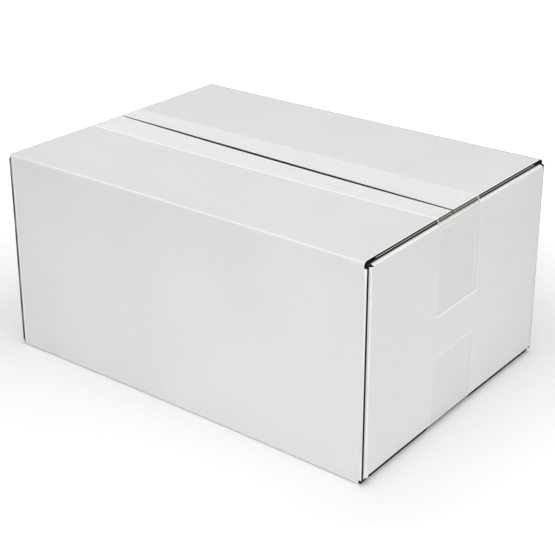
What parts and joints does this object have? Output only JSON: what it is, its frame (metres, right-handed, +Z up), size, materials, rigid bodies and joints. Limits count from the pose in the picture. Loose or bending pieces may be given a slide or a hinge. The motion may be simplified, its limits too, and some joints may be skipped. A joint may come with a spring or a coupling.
{
  "type": "taped corrugated shipping carton",
  "caption": "White corrugated carton with slotted flaps folded shut, a glued corner and clear tape over its top and bottom seams.",
  "frame": {"origin": "on the floor under the middle of the box, at the underside of the lower tape", "axes": "+X along the long side towards the end with the glued corner, +Y towards the back panel, +Z up"},
  "size_m": [0.3052, 0.22, 0.1502],
  "materials": {
    "white_board": "matte white liner outside, brown kraft inside",
    "clear_tape": "clear, glossy, faintly yellow film"
  },
  "bodies": {
    "root": {"carton": "white_board", "top_tape": "clear_tape", "bottom_tape": "clear_tape"}
  },
  "joints": []
}
